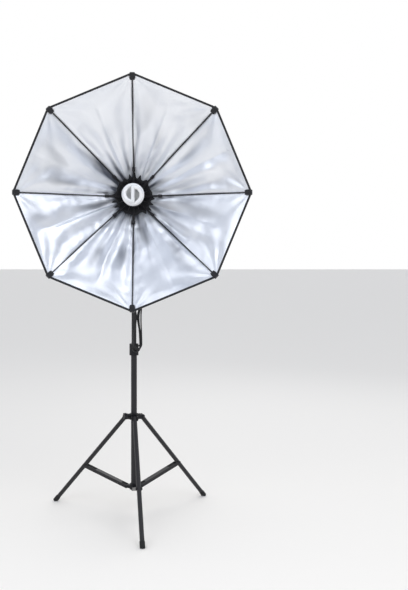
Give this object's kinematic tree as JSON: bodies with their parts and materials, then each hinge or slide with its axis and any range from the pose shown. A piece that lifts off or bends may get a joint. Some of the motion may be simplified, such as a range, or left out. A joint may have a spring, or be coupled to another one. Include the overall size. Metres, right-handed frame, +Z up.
{
  "type": "studio softbox",
  "caption": "Octagonal folding softbox with a silver lining and a spiral lamp, tilting and turning on a telescopic light stand with folding legs.",
  "frame": {"origin": "on the floor under the middle of the bounding box, measured without the mains lead", "axes": "+Z up, -Y the way the softbox faces"},
  "size_m": [0.8076, 0.553, 1.5788],
  "materials": {
    "black_paint": "satin",
    "black_plastic": "satin",
    "rubber": "matte",
    "steel": "satin",
    "silver_cloth": "foil face, metallic sheen",
    "lamp_glass": "white phosphor coat inside",
    "lamp_body": "glossy",
    "cord_sheath": "matte"
  },
  "bodies": {
    "stand": {"lower_tube": "black_paint", "bottom_collar": "black_plastic", "mast_clamp": "black_plastic"},
    "mast_clamp_knob": {"mast_clamp_knob": "black_plastic"},
    "leg_collar": {"leg_collar": "black_plastic"},
    "leg_knob": {"leg_knob": "black_plastic"},
    "leg_1": {"leg_1": "black_paint", "foot_1": "rubber"},
    "leg_2": {"leg_2": "black_paint", "foot_2": "rubber"},
    "leg_3": {"leg_3": "black_paint", "foot_3": "rubber"},
    "brace_1": {"brace_1": "black_paint"},
    "brace_2": {"brace_2": "black_paint"},
    "brace_3": {"brace_3": "black_paint"},
    "mast": {"upper_tube": "black_paint", "spigot": "steel"},
    "swivel": {"stand_adapter": "black_plastic", "cord_lead": "cord_sheath", "cord_hank": "cord_sheath", "plug": "black_plastic"},
    "adapter_knob": {"adapter_knob": "black_plastic"},
    "head": {"lamp_holder": "black_plastic", "rib_crown": "black_plastic", "crown_wire": "steel"},
    "tilt_knob": {"tilt_knob": "black_plastic"},
    "bulb": {"bulb_spiral": "lamp_glass", "bulb_base": "lamp_body"},
    "rib_1": {"rib_arm_1": "black_paint", "rib_rod_1": "black_paint"},
    "canopy_left_1": {"canopy_left_1": "silver_cloth"},
    "canopy_right_1": {"canopy_right_1": "silver_cloth"},
    "rib_2": {"rib_arm_2": "black_paint", "rib_rod_2": "black_paint"},
    "canopy_left_2": {"canopy_left_2": "silver_cloth"},
    "canopy_right_2": {"canopy_right_2": "silver_cloth"},
    "rib_3": {"rib_arm_3": "black_paint", "rib_rod_3": "black_paint"},
    "canopy_left_3": {"canopy_left_3": "silver_cloth"},
    "canopy_right_3": {"canopy_right_3": "silver_cloth"},
    "rib_4": {"rib_arm_4": "black_paint", "rib_rod_4": "black_paint"},
    "canopy_left_4": {"canopy_left_4": "silver_cloth"},
    "canopy_right_4": {"canopy_right_4": "silver_cloth"},
    "rib_5": {"rib_arm_5": "black_paint", "rib_rod_5": "black_paint"},
    "canopy_left_5": {"canopy_left_5": "silver_cloth"},
    "canopy_right_5": {"canopy_right_5": "silver_cloth"},
    "rib_6": {"rib_arm_6": "black_paint", "rib_rod_6": "black_paint"},
    "canopy_left_6": {"canopy_left_6": "silver_cloth"},
    "canopy_right_6": {"canopy_right_6": "silver_cloth"},
    "rib_7": {"rib_arm_7": "black_paint", "rib_rod_7": "black_paint"},
    "canopy_left_7": {"canopy_left_7": "silver_cloth"},
    "canopy_right_7": {"canopy_right_7": "silver_cloth"},
    "rib_8": {"rib_arm_8": "black_paint", "rib_rod_8": "black_paint"},
    "canopy_left_8": {"canopy_left_8": "silver_cloth"},
    "canopy_right_8": {"canopy_right_8": "silver_cloth"}
  },
  "joints": [
    {"name": "mast_clamp_knob_turn", "type": "hinge", "parent": "stand", "child": "mast_clamp_knob", "pos_m": [-0.00174, 0.0882, 0.62], "axis": [-0.0872, 0.9962, 0], "range_deg": [0, 180]},
    {"name": "leg_collar_slide", "type": "slide", "parent": "stand", "child": "leg_collar", "axis": [0, 0, 1], "range_m": [0, 0.19361]},
    {"name": "leg_knob_turn", "type": "hinge", "parent": "leg_collar", "child": "leg_knob", "pos_m": [-0.01827, 0.06014, 0.363], "axis": [-0.9135, -0.4067, 0], "range_deg": [0, 180]},
    {"name": "leg_1_fold", "type": "hinge", "parent": "leg_collar", "child": "leg_1", "pos_m": [0.00355, 0.03446, 0.357], "axis": [0.9945, 0.1045, 0], "range_deg": [0, 36.7]},
    {"name": "leg_2_fold", "type": "hinge", "parent": "leg_collar", "child": "leg_2", "pos_m": [0.02751, 0.08826, 0.357], "axis": [-0.5878, 0.809, 0], "range_deg": [0, 36.7]},
    {"name": "leg_3_fold", "type": "hinge", "parent": "leg_collar", "child": "leg_3", "pos_m": [-0.03106, 0.0821, 0.357], "axis": [-0.4067, -0.9135, 0], "range_deg": [0, 36.7]},
    {"name": "brace_1_fold", "type": "hinge", "parent": "stand", "child": "brace_1", "pos_m": [0.00293, 0.04043, 0.097], "axis": [-0.9945, -0.1045, 0], "range_deg": [0, 64.8]},
    {"name": "brace_2_fold", "type": "hinge", "parent": "stand", "child": "brace_2", "pos_m": [0.02265, 0.08473, 0.097], "axis": [0.5878, -0.809, 0], "range_deg": [0, 64.8]},
    {"name": "brace_3_fold", "type": "hinge", "parent": "stand", "child": "brace_3", "pos_m": [-0.02558, 0.07966, 0.097], "axis": [0.4067, 0.9135, 0], "range_deg": [0, 64.8]},
    {"name": "mast_slide", "type": "slide", "parent": "stand", "child": "mast", "axis": [0, 0, 1], "range_m": [-0.2, 0.1]},
    {"name": "pan", "type": "hinge", "parent": "mast", "child": "swivel", "pos_m": [0, 0.06828, 1.08], "axis": [0, 0, 1], "range_deg": [-90, 90]},
    {"name": "adapter_knob_turn", "type": "hinge", "parent": "swivel", "child": "adapter_knob", "pos_m": [-0.02, 0.06828, 1.08], "axis": [-1, 0, 0], "range_deg": [0, 180]},
    {"name": "tilt", "type": "hinge", "parent": "swivel", "child": "head", "pos_m": [0, 0.06828, 1.133], "axis": [-1, 0, 0], "range_deg": [-30, 90], "deforming": ["cord_lead"]},
    {"name": "tilt_knob_turn", "type": "hinge", "parent": "swivel", "child": "tilt_knob", "pos_m": [0, 0.06828, 1.133], "axis": [-1, 0, 0], "range_deg": [0, 180]},
    {"name": "bulb_pull", "type": "slide", "parent": "head", "child": "bulb", "axis": [0, -1, 0], "range_m": [0, 0.12]},
    {"name": "rib_1_fold", "type": "hinge", "parent": "head", "child": "rib_1", "pos_m": [0, 0.01827, 1.207], "axis": [1, 0, 0], "range_deg": [0, 46]},
    {"name": "canopy_left_1_swing", "type": "hinge", "parent": "rib_1", "child": "canopy_left_1", "pos_m": [0, 0.01827, 1.207], "axis": [0, 0.5299, -0.848], "range_deg": [0, 63.2]},
    {"name": "canopy_right_1_swing", "type": "hinge", "parent": "rib_1", "child": "canopy_right_1", "pos_m": [0, 0.01827, 1.207], "axis": [0, -0.5299, 0.848], "range_deg": [0, 63.2]},
    {"name": "rib_2_fold", "type": "hinge", "parent": "head", "child": "rib_2", "pos_m": [0.02263, 0.01827, 1.19763], "axis": [0.7071, 0, -0.7071], "range_deg": [0, 46.05]},
    {"name": "canopy_left_2_swing", "type": "hinge", "parent": "rib_2", "child": "canopy_left_2", "pos_m": [0.02263, 0.01827, 1.19763], "axis": [-0.5997, 0.5299, -0.5997], "range_deg": [0, 63.2]},
    {"name": "canopy_right_2_swing", "type": "hinge", "parent": "rib_2", "child": "canopy_right_2", "pos_m": [0.02263, 0.01827, 1.19763], "axis": [0.5997, -0.5299, 0.5997], "range_deg": [0, 63.2]},
    {"name": "rib_3_fold", "type": "hinge", "parent": "head", "child": "rib_3", "pos_m": [0.032, 0.01827, 1.175], "axis": [0, 0, -1], "range_deg": [0, 46.05]},
    {"name": "canopy_left_3_swing", "type": "hinge", "parent": "rib_3", "child": "canopy_left_3", "pos_m": [0.032, 0.01827, 1.175], "axis": [-0.848, 0.5299, 0], "range_deg": [0, 63.2]},
    {"name": "canopy_right_3_swing", "type": "hinge", "parent": "rib_3", "child": "canopy_right_3", "pos_m": [0.032, 0.01827, 1.175], "axis": [0.848, -0.5299, 0], "range_deg": [0, 63.2]},
    {"name": "rib_4_fold", "type": "hinge", "parent": "head", "child": "rib_4", "pos_m": [0.02263, 0.01827, 1.15237], "axis": [-0.7071, 0, -0.7071], "range_deg": [0, 46.05]},
    {"name": "canopy_left_4_swing", "type": "hinge", "parent": "rib_4", "child": "canopy_left_4", "pos_m": [0.02263, 0.01827, 1.15237], "axis": [-0.5997, 0.5299, 0.5997], "range_deg": [0, 63.2]},
    {"name": "canopy_right_4_swing", "type": "hinge", "parent": "rib_4", "child": "canopy_right_4", "pos_m": [0.02263, 0.01827, 1.15237], "axis": [0.5997, -0.5299, -0.5997], "range_deg": [0, 63.2]},
    {"name": "rib_5_fold", "type": "hinge", "parent": "head", "child": "rib_5", "pos_m": [0, 0.01827, 1.143], "axis": [-1, 0, 0], "range_deg": [0, 46.05]},
    {"name": "canopy_left_5_swing", "type": "hinge", "parent": "rib_5", "child": "canopy_left_5", "pos_m": [0, 0.01827, 1.143], "axis": [0, 0.5299, 0.848], "range_deg": [0, 63.2]},
    {"name": "canopy_right_5_swing", "type": "hinge", "parent": "rib_5", "child": "canopy_right_5", "pos_m": [0, 0.01827, 1.143], "axis": [0, -0.5299, -0.848], "range_deg": [0, 63.2]},
    {"name": "rib_6_fold", "type": "hinge", "parent": "head", "child": "rib_6", "pos_m": [-0.02263, 0.01827, 1.15237], "axis": [-0.7071, 0, 0.7071], "range_deg": [0, 46.05]},
    {"name": "canopy_left_6_swing", "type": "hinge", "parent": "rib_6", "child": "canopy_left_6", "pos_m": [-0.02263, 0.01827, 1.15237], "axis": [0.5997, 0.5299, 0.5997], "range_deg": [0, 63.2]},
    {"name": "canopy_right_6_swing", "type": "hinge", "parent": "rib_6", "child": "canopy_right_6", "pos_m": [-0.02263, 0.01827, 1.15237], "axis": [-0.5997, -0.5299, -0.5997], "range_deg": [0, 63.2]},
    {"name": "rib_7_fold", "type": "hinge", "parent": "head", "child": "rib_7", "pos_m": [-0.032, 0.01827, 1.175], "axis": [0, 0, 1], "range_deg": [0, 46.05]},
    {"name": "canopy_left_7_swing", "type": "hinge", "parent": "rib_7", "child": "canopy_left_7", "pos_m": [-0.032, 0.01827, 1.175], "axis": [0.848, 0.5299, 0], "range_deg": [0, 63.2]},
    {"name": "canopy_right_7_swing", "type": "hinge", "parent": "rib_7", "child": "canopy_right_7", "pos_m": [-0.032, 0.01827, 1.175], "axis": [-0.848, -0.5299, 0], "range_deg": [0, 63.2]},
    {"name": "rib_8_fold", "type": "hinge", "parent": "head", "child": "rib_8", "pos_m": [-0.02263, 0.01827, 1.19763], "axis": [0.7071, 0, 0.7071], "range_deg": [0, 46.05]},
    {"name": "canopy_left_8_swing", "type": "hinge", "parent": "rib_8", "child": "canopy_left_8", "pos_m": [-0.02263, 0.01827, 1.19763], "axis": [0.5997, 0.5299, -0.5997], "range_deg": [0, 63.2]},
    {"name": "canopy_right_8_swing", "type": "hinge", "parent": "rib_8", "child": "canopy_right_8", "pos_m": [-0.02263, 0.01827, 1.19763], "axis": [-0.5997, -0.5299, 0.5997], "range_deg": [0, 63.2]}
  ],
  "couplings": [
    {"joint": "leg_1_fold", "follows": "leg_collar_slide", "rad_per_m": 3.308},
    {"joint": "leg_2_fold", "follows": "leg_collar_slide", "rad_per_m": 3.308},
    {"joint": "leg_3_fold", "follows": "leg_collar_slide", "rad_per_m": 3.308},
    {"joint": "brace_1_fold", "follows": "leg_collar_slide", "rad_per_m": 5.8371},
    {"joint": "brace_2_fold", "follows": "leg_collar_slide", "rad_per_m": 5.8371},
    {"joint": "brace_3_fold", "follows": "leg_collar_slide", "rad_per_m": 5.8371},
    {"joint": "canopy_left_1_swing", "follows": "rib_1_fold", "ratio": 1.3709},
    {"joint": "canopy_right_1_swing", "follows": "rib_1_fold", "ratio": 1.3709},
    {"joint": "rib_2_fold", "follows": "rib_1_fold", "ratio": 1},
    {"joint": "canopy_left_2_swing", "follows": "rib_1_fold", "ratio": 1.3709},
    {"joint": "canopy_right_2_swing", "follows": "rib_1_fold", "ratio": 1.3709},
    {"joint": "rib_3_fold", "follows": "rib_1_fold", "ratio": 1},
    {"joint": "canopy_left_3_swing", "follows": "rib_1_fold", "ratio": 1.3709},
    {"joint": "canopy_right_3_swing", "follows": "rib_1_fold", "ratio": 1.3709},
    {"joint": "rib_4_fold", "follows": "rib_1_fold", "ratio": 1},
    {"joint": "canopy_left_4_swing", "follows": "rib_1_fold", "ratio": 1.3709},
    {"joint": "canopy_right_4_swing", "follows": "rib_1_fold", "ratio": 1.3709},
    {"joint": "rib_5_fold", "follows": "rib_1_fold", "ratio": 1},
    {"joint": "canopy_left_5_swing", "follows": "rib_1_fold", "ratio": 1.3709},
    {"joint": "canopy_right_5_swing", "follows": "rib_1_fold", "ratio": 1.3709},
    {"joint": "rib_6_fold", "follows": "rib_1_fold", "ratio": 1},
    {"joint": "canopy_left_6_swing", "follows": "rib_1_fold", "ratio": 1.3709},
    {"joint": "canopy_right_6_swing", "follows": "rib_1_fold", "ratio": 1.3709},
    {"joint": "rib_7_fold", "follows": "rib_1_fold", "ratio": 1},
    {"joint": "canopy_left_7_swing", "follows": "rib_1_fold", "ratio": 1.3709},
    {"joint": "canopy_right_7_swing", "follows": "rib_1_fold", "ratio": 1.3709},
    {"joint": "rib_8_fold", "follows": "rib_1_fold", "ratio": 1},
    {"joint": "canopy_left_8_swing", "follows": "rib_1_fold", "ratio": 1.3709},
    {"joint": "canopy_right_8_swing", "follows": "rib_1_fold", "ratio": 1.3709}
  ]
}
